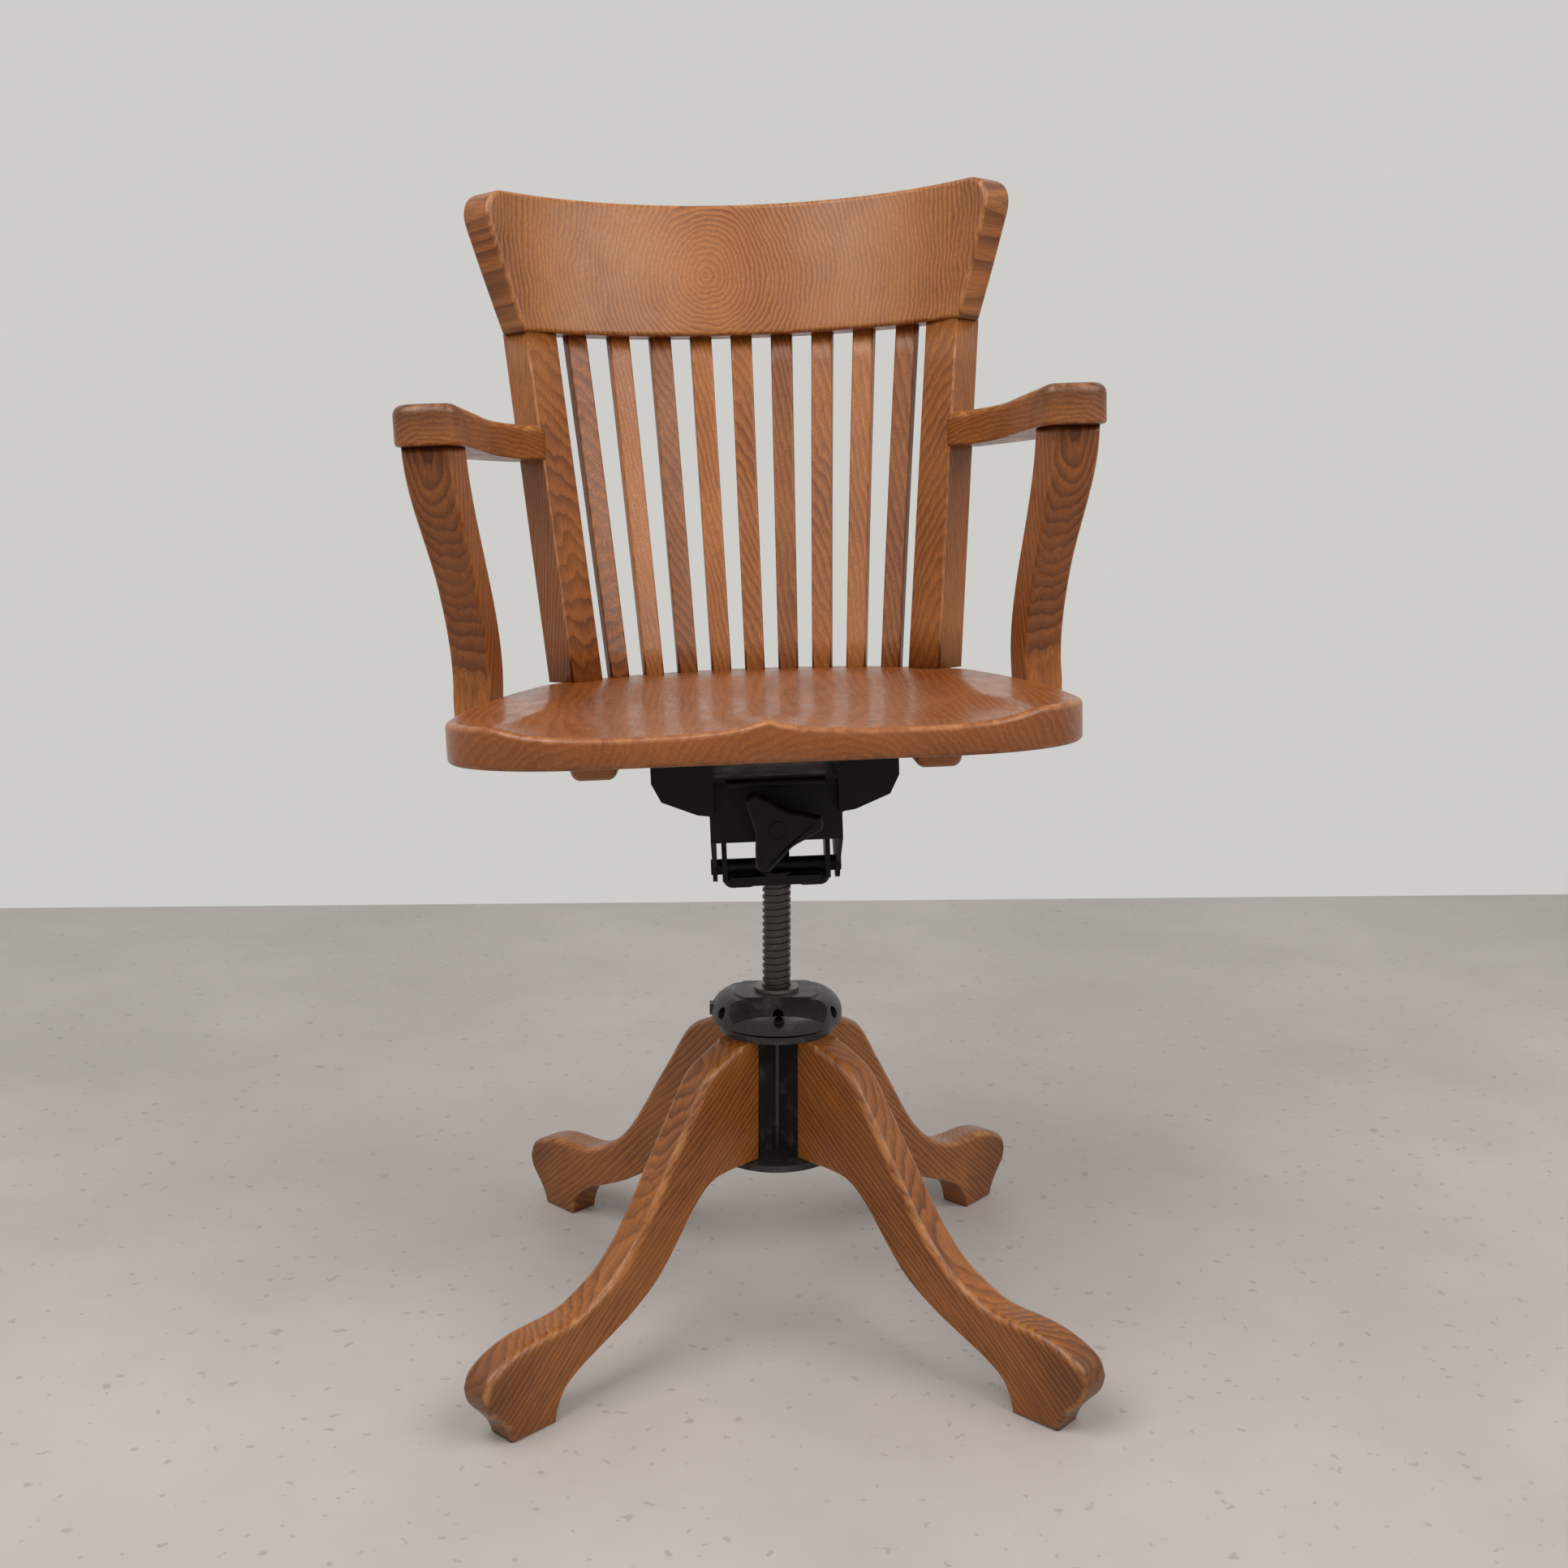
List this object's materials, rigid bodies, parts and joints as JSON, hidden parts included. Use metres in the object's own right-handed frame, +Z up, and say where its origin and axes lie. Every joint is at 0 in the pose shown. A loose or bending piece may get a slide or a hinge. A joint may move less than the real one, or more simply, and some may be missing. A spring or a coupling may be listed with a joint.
{
  "type": "swivel chair",
  "caption": "Wooden swivel office chair with a saddle seat, slatted back and curved arms on a sprung tilting iron, a height screw and a four-legged base.",
  "frame": {"origin": "on the floor on the axis of the height screw", "axes": "+Z up, -Y the way the sitter faces, +X the sitter's left, which is the viewer's right"},
  "size_m": [0.5765, 0.6306, 1.0447],
  "materials": {
    "oak": "satin varnish",
    "leg_oak": "satin varnish, worn at the toes",
    "dark_iron": "dark oiled iron",
    "dark_steel": "dark greasy steel",
    "bright_steel": "worn bare steel",
    "black_iron": "worn black paint"
  },
  "bodies": {
    "base": {"leg_front_left": "leg_oak", "leg_front_right": "leg_oak", "leg_back_left": "leg_oak", "leg_back_right": "leg_oak", "flange_screws": "dark_iron", "plate_screws": "dark_iron", "foot_plate": "dark_iron", "leg_flange": "dark_iron", "column": "dark_iron", "swivel_balls": "bright_steel"},
    "swivel_head": {"dome": "dark_iron", "upper_race": "dark_iron", "height_nut": "dark_iron"},
    "lock": {"lock_bolt": "dark_iron"},
    "washer": {"thrust_washer": "bright_steel"},
    "screw": {"height_screw": "dark_steel", "yoke": "black_iron", "tilt_rod": "black_iron", "spring_rear_seat": "black_iron"},
    "seat_unit": {"side_iron_left": "black_iron", "side_iron_right": "black_iron", "spring_box": "black_iron", "seat_bolts": "dark_steel", "cleat_screws": "dark_steel", "post_screws": "dark_steel", "seat": "oak", "cleat_left": "oak", "cleat_right": "oak", "stile_left": "oak", "stile_right": "oak", "crest_rail": "oak", "post_left": "oak", "post_right": "oak", "arm_left": "oak", "arm_right": "oak", "slat_1": "oak", "slat_2": "oak", "slat_3": "oak", "slat_4": "oak", "slat_5": "oak", "slat_6": "oak", "slat_7": "oak", "slat_8": "oak", "slat_9": "oak"},
    "cup": {"spring_cup": "black_iron", "tension_spring": "black_iron"},
    "knob": {"star_knob": "black_iron"}
  },
  "joints": [
    {"name": "swivel", "type": "hinge", "parent": "base", "child": "swivel_head", "pos_m": [0, 0, 0.272], "axis": [0, 0, 1], "continuous": true},
    {"name": "lock_turn", "type": "hinge", "parent": "swivel_head", "child": "lock", "pos_m": [0, 0, 0.2805], "axis": [-1, 0, 0], "range_deg": [-180, 180]},
    {"name": "screw_turn", "type": "hinge", "parent": "swivel_head", "child": "washer", "pos_m": [0, 0, 0.3], "axis": [0, 0, 1], "range_deg": [-4320, 2880]},
    {"name": "screw_rise", "type": "slide", "parent": "washer", "child": "screw", "axis": [0, 0, 1], "range_m": [-0.0762, 0.0508]},
    {"name": "tilt", "type": "hinge", "parent": "screw", "child": "seat_unit", "pos_m": [-0.00052, 0, 0.41229], "axis": [-0.9994, 0, -0.0349], "range_deg": [0, 18], "stiffness_Nm_per_rad": 60, "springref_deg": -20.05},
    {"name": "knob_advance", "type": "slide", "parent": "seat_unit", "child": "cup", "axis": [0.0007, 0.9998, -0.0201], "range_m": [-0.0005, 0.009], "deforming": ["tension_spring"]},
    {"name": "knob_turn", "type": "hinge", "parent": "cup", "child": "knob", "pos_m": [-0.00227, 0.001, 0.46225], "axis": [0.0007, 0.9998, -0.0201], "range_deg": [-90, 1620]}
  ],
  "couplings": [
    {"joint": "screw_rise", "follows": "screw_turn", "m_per_rad": 0.0010106},
    {"joint": "knob_advance", "follows": "knob_turn", "m_per_rad": 0.00031831}
  ]
}
